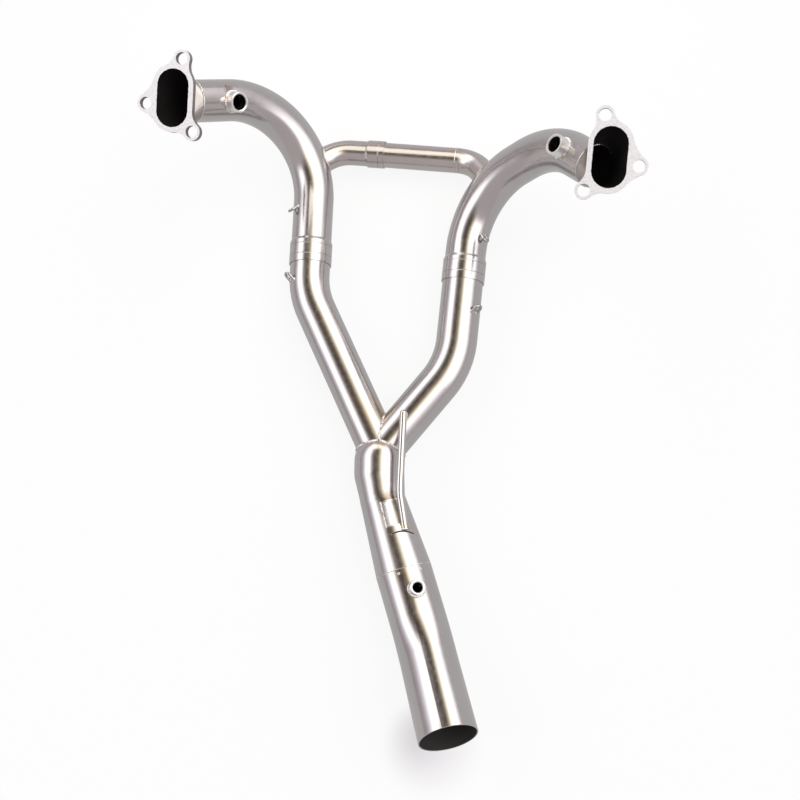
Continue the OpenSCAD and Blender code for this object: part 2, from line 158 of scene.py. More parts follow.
add_node(tree, "ShaderNodeOutputMaterial", {"Surface": mixed.outputs[0]})
floor.data.materials.append(board)


# Studio light
# Grey walls with a long softbox on either side of the header, and darkness overhead where
# the camera hangs. The tones go round the long axis of the header, in degrees from straight
# up, left side negative. Both softboxes fade out in front of the header and far behind it.
LIGHT_STRENGTH = 2.5
ROOM_TONES = (
    (-180, (0.25, 0.235, 0.235, 1)),
    (-105, (0.29, 0.265, 0.26, 1)),
    (-88, (0.155, 0.14, 0.14, 1)),
    (-74, (0.25, 0.235, 0.25, 1)),
    (-62, (0.52, 0.52, 0.55, 1)),
    (-55, (0.95, 0.95, 0.98, 1)),
    (-40, (1.00, 1.00, 1.00, 1)),
    (-33, (0.50, 0.49, 0.48, 1)),
    (-24, (0.09, 0.078, 0.074, 1)),
    (-14, (0.035, 0.027, 0.022, 1)),
    (-5, (0.035, 0.025, 0.018, 1)),
    (3, (0.12, 0.10, 0.07, 1)),
    (9, (0.36, 0.32, 0.23, 1)),
    (17, (0.80, 0.76, 0.63, 1)),
    (24, (1.00, 1.00, 0.98, 1)),
    (52, (0.98, 0.98, 1.00, 1)),
    (66, (0.72, 0.71, 0.73, 1)),
    (78, (0.27, 0.26, 0.27, 1)),
    (98, (0.18, 0.17, 0.17, 1)),
    (125, (0.25, 0.235, 0.23, 1)),
    (180, (0.25, 0.235, 0.235, 1)),
)
WALL_TONE = (0.235, 0.22, 0.225, 1)
BACKDROP_WHITE = (1, 1, 1, 1)
# Where the softboxes fade out along the header, as the sine of the tilt towards the rear
FRONT_FADE = (-0.50, -0.22)
REAR_FADE = (0.82, 0.96)
# A small warm card above and behind the crossover, which puts a bright line along it
CARD_SPOT = (-0.06, 0.48, 0.36)
CARD_AIM = place(3, 341, -4)
CARD_SIZE = (0.34, 0.26)
CARD_COLOUR = (1.0, 0.96, 0.87)
CARD_POWER = 0.45


def blend_tone(tree, share, below, above):
    """The tone below, with the tone above laid over it by the share."""
    return add_node(tree, "ShaderNodeMix", {0: share, 6: below, 7: above},
                    data_type="RGBA").outputs[2]


world = bpy.data.worlds.new("studio")
bpy.context.scene.world = world
world.use_nodes = True
tree = world.node_tree
tree.nodes.clear()
heading = add_node(tree, "ShaderNodeTexCoord").outputs["Generated"]
parts = add_node(tree, "ShaderNodeSeparateXYZ", {0: heading}).outputs
lean = calculate(tree, "ARCTAN2", parts["X"], parts["Z"])
turn_share = add_node(tree, "ShaderNodeMapRange", {"Value": lean, "From Min": -math.pi,
                      "From Max": math.pi}).outputs[0]
tones = add_node(tree, "ShaderNodeValToRGB", {0: turn_share})
stops = tones.color_ramp.elements
for index, (angle, tone) in enumerate(ROOM_TONES):
    stop = stops[index] if index < 2 else stops.new(1.0)
    stop.position = (angle + 180) / 360
    stop.color = tone
lit = product(tree, span(tree, parts["Y"], *FRONT_FADE, 0.0, 1.0),
              span(tree, parts["Y"], *REAR_FADE, 1.0, 0.0))
room = add_node(tree, "ShaderNodeBackground", {"Color": blend_tone(tree, lit, WALL_TONE,
                tones.outputs[0]), "Strength": LIGHT_STRENGTH})
backdrop = add_node(tree, "ShaderNodeBackground", {"Color": BACKDROP_WHITE, "Strength": 1.0})
direct = add_node(tree, "ShaderNodeLightPath").outputs["Is Camera Ray"]
beyond = add_node(tree, "ShaderNodeMixShader", {0: direct, 1: room.outputs[0],
                  2: backdrop.outputs[0]})
add_node(tree, "ShaderNodeOutputWorld", {"Surface": beyond.outputs[0]})

bpy.ops.object.light_add(type="AREA", location=CARD_SPOT)
card = bpy.context.object
card.name = "crossover_card"
card.data.shape = "RECTANGLE"
card.data.size, card.data.size_y = CARD_SIZE
card.data.color = CARD_COLOUR
card.data.energy = CARD_POWER
card.rotation_euler = (CARD_AIM - Vector(CARD_SPOT)).to_track_quat("-Z", "Y").to_euler()


# Header tubes and branch tubes
# Two mandrel-bent tubes of 45 mm stainless steel slip over two short bent branches. A fine
# abrasive belt gave all four the same satin finish. Welding heat tinted them beside the
# necks and in the crotch, and the inside of the header tubes' upper end is painted black as
# shade.
HEADER_RADIUS = 22.5
SATIN_COLOUR = (0.56, 0.53, 0.525)
SATIN_ROUGHNESS = 0.18
STRAW = (0.62, 0.47, 0.27, 1)
BLUED = (0.34, 0.31, 0.36, 1)
BROWN = (0.22, 0.15, 0.09, 1)
# Dull near-black, painted into hollows and gaps as shade
PAINTED_SHADE_BLACK = (0.008, 0.007, 0.007, 1)
PAINTED_SHADE_ROUGHNESS = 0.95
# Painted shade covers the inside of a header tube up to this far past the neck, in metres,
# and a wall counts as inside below this cosine between its face and the way out from the axis
INSIDE_SHADE_REACH = (0.034, 0.042)
SHADE_ON_TUBE = 0.5
LEFT_NECK_END = place(-230, 339, 120)
RIGHT_NECK_END = place(201, 295, 121)
LEFT_KNEE = place(-124, 405, 0)
LEFT_ELBOW = place(-104, 170, 0)
RIGHT_SHOULDER = place(156, 334, 80)
RIGHT_KNEE = place(66, 303, 0)
RIGHT_ELBOW = place(69, 104, 0)
LEFT_SLIP_Y = 203
RIGHT_SLIP_Y = 197
TORCH_BURN = place(-193, 358, 113)
CROTCH = place(-8, 41, 8)
# A tint is full at the first share of its reach, gone at the second, and wavers between
TINT_EDGE = (0.35, 1.25)
TINT_WAVER = 0.5
# How far the rings that the expanding tool left lie behind the mouth, the half widths of
# their sharp and soft lines, and how far from the middle of the mouth they may show
TOOL_RINGS = (8.5, 20.5)
RING_LINE = (0.2, 0.7)
RING_REACH = (38, 42)
RING_TONE = 0.45


def shade(colour, factor):
    return tuple(channel * factor for channel in colour) + (1,)


def grain(tree, spot, scale, detail):
    return add_node(tree, "ShaderNodeTexNoise", {"Vector": spot, "Scale": scale,
                    "Detail": detail}).outputs[0]


def along_axis(tree, spot, point, direction):
    offset = join_vectors(tree, "SUBTRACT", spot, point)
    return measure_vectors(tree, "DOT_PRODUCT", offset, direction)


def heat_tint(tree, spot, waver, tone, tint):
    """Lays a tint over the tone: its centre, its reach in metres, its colour and strength."""
    centre, reach, colour, strength = tint
    away = measure_vectors(tree, "DISTANCE", spot, centre)
    away = calculate(tree, "MULTIPLY_ADD", waver, TINT_WAVER * reach, away)
    near = span(tree, away, TINT_EDGE[0] * reach, TINT_EDGE[1] * reach, strength, 0.0)
    return blend_tone(tree, near, tone, colour)


def tool_groove(tree, spot, mouth, direction, back):
    """1 on a fine line round the tube, the given millimetres behind its mouth."""
    behind = calculate(tree, "ADD", along_axis(tree, spot, mouth, direction),
                       back * MILLIMETRE)
    off = calculate(tree, "ABSOLUTE", behind)
    line = span(tree, off, RING_LINE[0] * MILLIMETRE, RING_LINE[1] * MILLIMETRE, 1.0, 0.0)
    away = measure_vectors(tree, "DISTANCE", spot, mouth)
    near = span(tree, away, RING_REACH[0] * MILLIMETRE, RING_REACH[1] * MILLIMETRE, 1.0, 0.0)
    return product(tree, line, near)


def satin_steel(name, colour, roughness, tints=(), rings=()):
    """Belted steel with heat tints and with rings, each so far back from a mouth."""
    material = bpy.data.materials.new(name)
    material.use_nodes = True
    tree = material.node_tree
    shader = tree.nodes["Principled BSDF"]
    shader.inputs["Metallic"].default_value = 1.0
    spot = object_spot(tree)
    clouds = grain(tree, spot, 18.0, 4.0)
    rubbed = grain(tree, spot, 240.0, 5.0)
    grit = grain(tree, spot, 1500.0, 2.0)
    tone = blend_tone(tree, clouds, shade(colour, 0.93), shade(colour, 1.07))
    for tint in tints:
        tone = heat_tint(tree, spot, rubbed, tone, tint)
    bump = add_node(tree, "ShaderNodeBump", {"Height": grit, "Strength": 0.06,
                    "Distance": 0.0002})
    for mouth, direction, back in rings:
        groove = tool_groove(tree, spot, mouth, direction, back)
        tone = blend_tone(tree, product(tree, groove, RING_TONE), tone,
                          shade(colour, RING_TONE))
        bump = add_node(tree, "ShaderNodeBump", {"Height": groove, "Strength": 0.5,
                        "Distance": 0.0003, "Normal": bump.outputs[0]}, invert=True)
    tree.links.new(tone, shader.inputs["Base Color"])
    tree.links.new(span(tree, rubbed, 0.3, 0.7, roughness - 0.02, roughness + 0.04),
                   shader.inputs["Roughness"])
    tree.links.new(bump.outputs[0], shader.inputs["Normal"])
    return material


def facing_inwards(tree, point, direction, limit=-0.1):
    """1 on a wall that faces the axis through point, 0 on one that faces away from it."""
    spot = object_spot(tree)
    foot = add_node(tree, "ShaderNodeVectorMath", {0: direction,
                    "Scale": along_axis(tree, spot, point, direction)}, operation="SCALE")
    outward = join_vectors(tree, "SUBTRACT", join_vectors(tree, "SUBTRACT", spot, point),
                           foot.outputs["Vector"])
    unit = join_vectors(tree, "NORMALIZE", outward)
    normal = add_node(tree, "ShaderNodeNewGeometry").outputs["Normal"]
    facing = measure_vectors(tree, "DOT_PRODUCT", unit, normal)
    return span(tree, facing, limit - 0.25, limit, 1.0, 0.0)


def add_painted_shade(material, mask, metal=1.0):
    """Dull black painted shade where the mask is 1, over a finish that is metallic by metal."""
    tree = material.node_tree
    shader = tree.nodes["Principled BSDF"]
    tone = shader.inputs["Base Color"].links[0].from_socket
    worn = shader.inputs["Roughness"].links[0].from_socket
    dulled = add_node(tree, "ShaderNodeMix", {0: mask, 2: worn, 3: PAINTED_SHADE_ROUGHNESS}).outputs[0]
    tree.links.new(blend_tone(tree, mask, tone, PAINTED_SHADE_BLACK), shader.inputs["Base Color"])
    tree.links.new(dulled, shader.inputs["Roughness"])
    tree.links.new(span(tree, mask, 0.0, 1.0, 0.5, 0.1), shader.inputs["Specular IOR Level"])
    tree.links.new(span(tree, mask, 0.0, 1.0, metal, 0.0), shader.inputs["Metallic"])


def finish_nodes(material, *names):
    for name in names:
        node = frame["nodes"][name]
        if not node.data.materials:
            node.data.materials.append(material)
        for slot in node.material_slots:
            slot.material = material


def on_run(start, end, y):
    """Point of the tube from start to end that lies at y, in millimetres from the merge."""
    share = (place(0, y, 0).y - start.y) / (end.y - start.y)
    return start + (end - start) * share


left_mouth = on_run(LEFT_KNEE, LEFT_ELBOW, LEFT_SLIP_Y)
right_mouth = on_run(RIGHT_KNEE, RIGHT_ELBOW, RIGHT_SLIP_Y)
left_slip = (LEFT_ELBOW - LEFT_KNEE).normalized()
right_slip = (RIGHT_ELBOW - RIGHT_KNEE).normalized()
left_header_steel = satin_steel(
    "left_header_steel", SATIN_COLOUR, SATIN_ROUGHNESS,
    tints=((LEFT_NECK_END, 0.032, STRAW, 0.35), (TORCH_BURN, 0.009, BROWN, 0.7)),
    rings=tuple((left_mouth, left_slip, back) for back in TOOL_RINGS))
right_header_steel = satin_steel(
    "right_header_steel", SATIN_COLOUR, SATIN_ROUGHNESS,
    tints=((RIGHT_NECK_END, 0.030, STRAW, 0.3),),
    rings=tuple((right_mouth, right_slip, back) for back in TOOL_RINGS))
# Painted shade: the inside of each header tube's upper end is painted black
for material, end, bend in ((left_header_steel, LEFT_NECK_END, LEFT_KNEE),
                            (right_header_steel, RIGHT_NECK_END, RIGHT_SHOULDER)):
    tree = material.node_tree
    inwards = (bend - end).normalized()
    near = span(tree, along_axis(tree, object_spot(tree), end, inwards), *INSIDE_SHADE_REACH, 1.0, 0.0)
    add_painted_shade(material, product(tree, facing_inwards(tree, end, inwards, SHADE_ON_TUBE), near))
finish_nodes(left_header_steel, "left_header_tube")
finish_nodes(right_header_steel, "right_header_tube")
finish_nodes(satin_steel("branch_steel", SATIN_COLOUR, SATIN_ROUGHNESS,
                         tints=((CROTCH, 0.034, STRAW, 0.45),)),
             "left_branch_tube", "right_branch_tube")


# Weld beads
# Every joint but the slip joints and the crossover's socket is welded by hand, which leaves
# a rippled bead 1.4 to 4.4 mm wide. Each bead is a thick line with a swelling for every
# ripple, and the sections below lay them where their pieces are joined.
RIPPLE = 2.2
POINTS_PER_RIPPLE = 6
# How thick the ripples are beside each other, and how thin the bead is between two of them
RIPPLE_SWELL = (0.90, 1.06)
RIPPLE_WAIST = 0.78
RING_STEP = 4
NEARLY_UPRIGHT = 0.9
bead_random = random.Random(7)


def spread_evenly(path, step):
    """Points a step apart along the path."""
    made = [path[0]]
    left_over = 0.0
    for start, end in zip(path, path[1:]):
        length = (end - start).length
        travelled = step - left_over
        while travelled <= length:
            made.append(start.lerp(end, travelled / length))
            travelled += step
        left_over = length - travelled + step
    return made


def weld_material(name, bright, burnt):
    material = bpy.data.materials.new(name)
    material.use_nodes = True
    tree = material.node_tree
    shader = tree.nodes["Principled BSDF"]
    shader.inputs["Metallic"].default_value = 1.0
    spot = object_spot(tree)
    patches = grain(tree, spot, 190.0, 3.0)
    scale = grain(tree, spot, 1300.0, 3.0)
    share = span(tree, patches, 0.50, 0.68, 0.0, 1.0)
    bump = add_node(tree, "ShaderNodeBump", {"Height": scale, "Strength": 0.25,
                    "Distance": 0.0003})
    tree.links.new(blend_tone(tree, share, bright, burnt), shader.inputs["Base Color"])
    tree.links.new(span(tree, scale, 0.3, 0.7, 0.16, 0.32), shader.inputs["Roughness"])
    tree.links.new(bump.outputs[0], shader.inputs["Normal"])
    return material


weld_steel = weld_material("weld_steel", (0.74, 0.72, 0.71, 1), (0.42, 0.33, 0.25, 1))
burnt_steel = weld_material("burnt_steel", (0.22, 0.16, 0.11, 1), (0.07, 0.05, 0.04, 1))


def lay_bead(name, path, width, closed=True):
    course = list(path) + [path[0]] if closed else list(path)
    points = spread_evenly(course, RIPPLE * MILLIMETRE / POINTS_PER_RIPPLE)
    if closed:
        points = points[:-1]
    curve = bpy.data.curves.new(name, "CURVE")
    curve.dimensions = "3D"
    curve.bevel_depth = width / 2 * MILLIMETRE
    curve.bevel_resolution = 2
    curve.use_fill_caps = True
    line = curve.splines.new("POLY")
    line.points.add(len(points) - 1)
    line.use_cyclic_u = closed
    for index, point in enumerate(points):
        phase = index % POINTS_PER_RIPPLE
        if phase == 0:
            swell = bead_random.uniform(*RIPPLE_SWELL)
        hump = math.sin(math.pi * phase / POINTS_PER_RIPPLE)
        line.points[index].co = (*point, 1)
        line.points[index].radius = swell * (RIPPLE_WAIST + (1 - RIPPLE_WAIST) * hump)
    bead = bpy.data.objects.new(name, curve)
    bpy.context.collection.objects.link(bead)
    bpy.ops.object.select_all(action="DESELECT")
    bpy.context.view_layer.objects.active = bead
    bead.select_set(True)
    bpy.ops.object.convert(target="MESH")
    bpy.ops.object.shade_smooth()
    bead = bpy.context.object
    bead.data.materials.clear()
    bead.data.materials.append(weld_steel)
    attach(bead, "root")
    return bead


def across(axis):
    """Two directions square to the axis and to each other."""
    helper = Vector((0, 0, 1)) if abs(axis.z) < NEARLY_UPRIGHT else Vector((1, 0, 0))
    first = axis.cross(helper).normalized()
    return first, axis.cross(first).normalized()


def ring(centre, axis, radius, step=RING_STEP):
    first, second = across(axis)
    return [centre + radius * MILLIMETRE * (math.cos(math.radians(angle)) * first
            + math.sin(math.radians(angle)) * second) for angle in range(0, 360, step)]


def dropped_onto(node, starts, direction):
    """Where lines from the starts along the direction first meet the node."""
    made = []
    for start in starts:
        hit, spot, _, _ = frame["nodes"][node].ray_cast(start, direction)
        if hit:
            made.append(spot)
    return made


# Necks
# Pressed steel transitions from the oval port to the round tube, welded to the back of
# the flange and to the end of the tube. Their inside is painted black as shade.
NECK_COLOUR = (0.45, 0.425, 0.42)
NECK_ROUGHNESS = 0.38
NECK_TINT_REACH = 0.032
SHADE_ON_NECK = 0.3
LEFT_PORT = place(-243, 330, 146)
RIGHT_PORT = place(216, 295, 146)
NECK_BEAD_SINK = 0.2
# The left bead is thicker at its start, and a burnt tick beside it is left from the torch
THICK_PART = place(-212, 337, 134)
THICK_REACH = 7
TORCH_TICK = (place(-199, 363, 140), place(-197.6, 359.5, 140), place(-196, 356, 140),
              place(-194.5, 350, 140))

for side, port, end in (("left", LEFT_PORT, LEFT_NECK_END),
                        ("right", RIGHT_PORT, RIGHT_NECK_END)):
    neck_steel = satin_steel(side + "_neck_steel", NECK_COLOUR, NECK_ROUGHNESS,
                             tints=((end, NECK_TINT_REACH, STRAW, 0.35),))
    # The neck's inside is painted black as painted shade
    inside = facing_inwards(neck_steel.node_tree, port, (end - port).normalized(), SHADE_ON_NECK)
    add_painted_shade(neck_steel, inside)
    finish_nodes(neck_steel, side + "_neck")
left_seam = ring(LEFT_NECK_END, (LEFT_KNEE - LEFT_NECK_END).normalized(),
                 HEADER_RADIUS - NECK_BEAD_SINK)
right_seam = ring(RIGHT_NECK_END, (RIGHT_SHOULDER - RIGHT_NECK_END).normalized(),
                  HEADER_RADIUS - NECK_BEAD_SINK)
lay_bead("left_neck_weld", left_seam, width=1.9)
lay_bead("right_neck_weld", right_seam, width=1.7)
lay_bead("left_neck_tack", [spot for spot in left_seam
         if (spot - THICK_PART).length < THICK_REACH * MILLIMETRE], width=2.4, closed=False)
burnt_tack = lay_bead("left_header_tack", dropped_onto("left_header_tube", TORCH_TICK,
                      Vector((0, 0, -1))), width=1.4, closed=False)
burnt_tack.data.materials[0] = burnt_steel


# Flanges
# Two 8 mm steel plates with an oval port and three stud holes. The face is milled flat,
# which leaves it pale and matt with fine tool lines, and painted shade blackens the port's wall
# and creeps raggedly over its edge.
FLANGE_LEAN = math.radians(19)
FLANGE_CANT = math.radians(1)
FLANGE_THICKNESS = 8
PORT_RADIUS = 17
PORT_HALF_STRAIGHT = 13
NECK_WALL = 1.2
FACE_COLOUR = (0.92, 0.91, 0.95)
FACE_METAL = 0.55
CUT_EDGE = (0.20, 0.18, 0.17, 1)
# How dense the milling lines are across and along, and how far the painted shade creeps over the
# edge
MILLING_LINES = (60.0, 1500.0)
SHADE_CREEP = 0.9
# The bead behind the flange lies this far outside the neck and below the plate
FLANGE_BEAD_OUT = 0.6
FLANGE_BEAD_BELOW = 0.4


def flange_turn(hand):
    return (Matrix.Rotation(FLANGE_LEAN, 3, "X") @ Matrix.Diagonal((hand, 1, 1))
            @ Matrix.Rotation(-FLANGE_CANT, 3, "Y"))


def port_wall(tree, x, y, blotches):
    """1 on the wall of the oval port, where shade is painted, with a ragged edge towards the
    face.
    """
    half = PORT_HALF_STRAIGHT * MILLIMETRE
    straight = add_node(tree, "ShaderNodeClamp", {"Value": y, "Min": -half, "Max": half})
    rest = calculate(tree, "SUBTRACT", y, straight.outputs[0])
    flat = add_node(tree, "ShaderNodeCombineXYZ", {0: x, 1: rest}).outputs[0]
    from_middle = measure_vectors(tree, "LENGTH", flat)
    ragged = calculate(tree, "MULTIPLY_ADD", blotches, -SHADE_CREEP * MILLIMETRE, from_middle)
    edge = PORT_RADIUS * MILLIMETRE
    return span(tree, ragged, edge - 0.25 * MILLIMETRE, edge - 0.1 * MILLIMETRE, 1.0, 0.0)


def milled_face(name, port, turn):
    material = bpy.data.materials.new(name)
    material.use_nodes = True
    tree = material.node_tree
    shader = tree.nodes["Principled BSDF"]
    spot = object_spot(tree)
    x = along_axis(tree, spot, port, turn.col[0])
    y = along_axis(tree, spot, port, turn.col[1])
    lines = add_node(tree, "ShaderNodeCombineXYZ", {0: product(tree, x, MILLING_LINES[0]),
                     1: product(tree, y, MILLING_LINES[1])}).outputs[0]
    marks = grain(tree, lines, 1.0, 3.0)
    blotches = grain(tree, spot, 420.0, 5.0)
    stain = span(tree, blotches, 0.42, 0.62, 0.0, 1.0)
    tone = blend_tone(tree, marks, shade(FACE_COLOUR, 0.90), shade(FACE_COLOUR, 1.05))
    tone = blend_tone(tree, product(tree, stain, 0.4), tone, shade(FACE_COLOUR, 0.66))
    normal = add_node(tree, "ShaderNodeNewGeometry").outputs["Normal"]
    rise = measure_vectors(tree, "DOT_PRODUCT", normal, turn.col[2])
    flatness = calculate(tree, "ABSOLUTE", rise)
    tone = blend_tone(tree, span(tree, flatness, 0.3, 0.8, 1.0, 0.0), tone, CUT_EDGE)
    bump = add_node(tree, "ShaderNodeBump", {"Height": marks, "Strength": 0.2,
                    "Distance": 0.0002})
    tree.links.new(tone, shader.inputs["Base Color"])
    tree.links.new(span(tree, blotches, 0.3, 0.7, 0.38, 0.55), shader.inputs["Roughness"])
    tree.links.new(bump.outputs[0], shader.inputs["Normal"])
    # The port's wall is painted black as painted shade
    add_painted_shade(material, port_wall(tree, x, y, blotches), metal=FACE_METAL)
    return material


def oval(port, turn, radius, depth):
    made = []
    for angle in range(0, 360, RING_STEP):
        middle = PORT_HALF_STRAIGHT if angle < 180 else -PORT_HALF_STRAIGHT
        spot = Vector((radius * math.cos(math.radians(angle)),
                       middle + radius * math.sin(math.radians(angle)), -depth))
        made.append(port + turn @ spot * MILLIMETRE)
    return made


for side, hand, port in (("left", 1, LEFT_PORT), ("right", -1, RIGHT_PORT)):
    turn = flange_turn(hand)
    finish_nodes(milled_face(side + "_milled_face", port, turn), side + "_flange")
    lay_bead(side + "_flange_weld", oval(port, turn, PORT_RADIUS + NECK_WALL + FLANGE_BEAD_OUT,
             FLANGE_THICKNESS + FLANGE_BEAD_BELOW), width=3.2)


# Sensor bosses
# Turned rings of pale steel, welded over holes in the tubes. A fine thread is cut in each,
# for an oxygen sensor on either header tube and a gas probe on the outlet.
BOSS_COLOUR = (0.88, 0.86, 0.85)
BOSS_ROUGHNESS = 0.32
# The thread is painted dark grey as shade in the bore
SHADED_THREAD_COLOUR = (0.24, 0.22, 0.21)
THREAD_ROUGHNESS = 0.3
THREAD_STEPS = 40
# The ridge's own size and how far it stands into the wall, as shares of the pitch
RIDGE_SIZE = 0.42
RIDGE_SINK = 0.1
# How much of the bore has a thread, and the distance at which two points count as one
THREADED_SHARE = 0.8
SAME_POINT = 0.001
# The bead lies this far outside the ring, and painted shade in the bore ends this far below the
# top
BOSS_BEAD_OUT = 0.2
BORE_SHADE_LIP = 0.6
BOSSES = (("left_sensor_thread", "left_sensor_boss", "left_header_tube", 11, 1.5),
          ("right_sensor_thread", "right_sensor_boss", "right_header_tube", 11, 1.5),
          ("outlet_probe_thread", "outlet_boss", "outlet_tube", 8, 1.25))
mounts = {mount["name"]: mount for mount in frame["record"]["mounts"]}
shaded_thread_steel = satin_steel("shaded_thread_steel", SHADED_THREAD_COLOUR, THREAD_ROUGHNESS)


def cut_thread(name, spot, axis, radius, length, pitch):
    """A ridge wound up the z axis in millimetres, then stood in its boss."""
    bpy.ops.object.select_all(action="DESELECT")
    bpy.ops.mesh.primitive_circle_add(vertices=3, radius=RIDGE_SIZE * pitch,
                                      location=(radius + RIDGE_SINK * pitch, 0, 0),
                                      rotation=(math.radians(90), math.radians(90), 0))
    thread = bpy.context.object
    thread.name = name
    bpy.ops.object.transform_apply()
    turns = int(length / pitch)
    winding = thread.modifiers.new("winding", "SCREW")
    winding.angle = math.tau
    winding.screw_offset = pitch
    winding.iterations = turns
    winding.steps = winding.render_steps = THREAD_STEPS
    winding.use_smooth_shade = False
    bpy.ops.object.modifier_apply(modifier="winding")
    bpy.ops.object.mode_set(mode="EDIT")
    bpy.ops.mesh.select_all(action="SELECT")
    bpy.ops.mesh.remove_doubles(threshold=SAME_POINT)
    bpy.ops.mesh.fill_holes(sides=3)
    bpy.ops.mesh.select_all(action="SELECT")
    bpy.ops.mesh.normals_make_consistent(inside=False)
    bpy.ops.object.mode_set(mode="OBJECT")
    stand = axis.to_track_quat("Z", "Y").to_matrix().to_4x4()
    thread.matrix_world = (Matrix.Translation(spot) @ stand @ Matrix.Scale(MILLIMETRE, 4)
                           @ Matrix.Translation((0, 0, -turns * pitch / 2)))
    bpy.ops.object.transform_apply()
    thread.data.materials.append(shaded_thread_steel)
    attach(thread, "root")


for name, boss, tube, outer_radius, pitch in BOSSES:
    spot = Vector(mounts[name]["pos_m"])
    axis = Vector(mounts[name]["axis"])
    radius = mounts[name]["dims"]["r_mm"]
    length = mounts[name]["dims"]["length_mm"]
    boss_steel = satin_steel(boss + "_steel", BOSS_COLOUR, BOSS_ROUGHNESS)
    tree = boss_steel.node_tree
    # The bore is painted black as shade up to just below its top
    height = along_axis(tree, object_spot(tree), spot, axis)
    top = length / 2 * MILLIMETRE
    below = span(tree, height, top - BORE_SHADE_LIP * MILLIMETRE, top, 1.0, 0.0)
    add_painted_shade(boss_steel, product(tree, facing_inwards(tree, spot, axis), below))
    finish_nodes(boss_steel, boss)
    cut_thread(name, spot, axis, radius, THREADED_SHARE * length, pitch)
    starts = ring(spot, axis, outer_radius + BOSS_BEAD_OUT)
    lay_bead(name.replace("thread", "boss_weld"), dropped_onto(tube, starts, -axis), width=3.2)


# Crossover
# A 28 mm steel tube that joins the two headers behind the slip joints. It is pushed into a
# socket on the left stub and welded to an elbow on the right.
CROSSOVER_RADIUS = 14
CROSSOVER_COLOUR = (0.58, 0.54, 0.52)
CROSSOVER_ROUGHNESS = 0.22
LEFT_STUB_ROOT = place(-122, 317, 6)
LEFT_STUB_KNEE = place(-92, 342, -4)
STUB_MOUTH = place(-39, 342, -4)
CROSSOVER_JOINT = place(43, 341, -4)
RIGHT_STUB_KNEE = place(62, 341, -4)
RIGHT_STUB_ROOT = place(92, 304, 23)
SOCKET_DIRECTION = Vector((1, 0, 0))
# A ring lies this far behind the socket's mouth, and another this far past the right joint
SOCKET_RING = 6.0
JOINT_RING = -5.0
CROSSOVER_BEAD_SINK = 0.3

crossover_steel = satin_steel(
    "crossover_steel", CROSSOVER_COLOUR, CROSSOVER_ROUGHNESS,
    tints=((CROSSOVER_JOINT, 0.020, STRAW, 0.4), (RIGHT_STUB_ROOT, 0.036, STRAW, 0.55),
           (LEFT_STUB_ROOT, 0.036, STRAW, 0.55)),
    rings=((STUB_MOUTH, SOCKET_DIRECTION, SOCKET_RING),
           (CROSSOVER_JOINT, SOCKET_DIRECTION, JOINT_RING)))
finish_nodes(crossover_steel, "crossover_left_stub", "crossover_tube", "crossover_right_elbow")
for side, knee, root in (("left", LEFT_STUB_KNEE, LEFT_STUB_ROOT),
                         ("right", RIGHT_STUB_KNEE, RIGHT_STUB_ROOT)):
    way = (root - knee).normalized()
    starts = ring(knee, way, CROSSOVER_RADIUS)
    lay_bead(side + "_stub_weld", dropped_onto(side + "_header_tube", starts, way), width=2.6)
lay_bead("crossover_weld", ring(CROSSOVER_JOINT, SOCKET_DIRECTION,
         CROSSOVER_RADIUS - CROSSOVER_BEAD_SINK), width=1.5)


# Collector
# A domed shell pressed in two halves that narrows to a waist and widens again. The two
# branches are welded to each other in the crotch and then to the dome.
SHELL_RADIUS = 27
MERGE = place(0, 0, 0)
DOME = place(0.8, -10, 3)
WAIST = place(9.8, -52, 3.4)
OUTLET_KNEE = place(71, -190, 7)
DOME_TINT = place(4, 15, 24)
# Brown painted shade in the dented pocket beside the brace rod
POCKET_SHADE = place(20, -54, 24)
# The crotch bead shows where it is this far outside the dome, and lies sunk in the tubes
CROTCH_CLEAR = 0.5
CROTCH_SINK = 0.3
# The relief plate's lower end stands off the cone, and the slit's shadow is painted there as
# an arched black line. It fades at its edges and its ends, both as shares, and only shows
# this far above the waist
SLIT_LEFT = place(28.4, -90, 31.7)
SLIT_RIGHT = place(50.6, -85.8, 18.8)
SLIT_ARCH = 3.0
SLIT_HALF_WIDTH = 0.75
SLIT_EDGE = (0.6, 1.4)
SLIT_END = (0.9, 1.05)
SLIT_HEIGHT = 0.005
cone_way = (OUTLET_KNEE - WAIST).normalized()
left_way = (LEFT_ELBOW - MERGE).normalized()
right_way = (RIGHT_ELBOW - MERGE).normalized()
mitre = (right_way - left_way).normalized()
crotch_way = (right_way + left_way).normalized()


def painted_slit_shadow(tree):
    """1 on the painted shadow of the arched slit, between its left and its right end, on the
    upper side.
    """
    upright = Vector((0, 0, 1))
    spot = object_spot(tree)
    slit_way = (SLIT_RIGHT - SLIT_LEFT) * Vector((1, 1, 0))
    half_slit = slit_way.length / 2
    slit_way.normalize()
    sideways = along_axis(tree, spot, SLIT_LEFT + slit_way * half_slit, slit_way)
    reach = calculate(tree, "DIVIDE", sideways, half_slit)
    sagging = product(tree, product(tree, reach, reach), SLIT_ARCH * MILLIMETRE)
    downhill = along_axis(tree, spot, SLIT_LEFT, slit_way.cross(upright))
    lifted = calculate(tree, "ADD", downhill, SLIT_ARCH * MILLIMETRE)
    off = calculate(tree, "ABSOLUTE", calculate(tree, "SUBTRACT", lifted, sagging))
    half_width = SLIT_HALF_WIDTH * MILLIMETRE
    line = span(tree, off, SLIT_EDGE[0] * half_width, SLIT_EDGE[1] * half_width, 1.0, 0.0)
    within = span(tree, calculate(tree, "ABSOLUTE", reach), *SLIT_END, 1.0, 0.0)
    above = span(tree, along_axis(tree, spot, WAIST, upright), 0.0, SLIT_HEIGHT, 0.0, 1.0)
    return product(tree, product(tree, line, within), above)


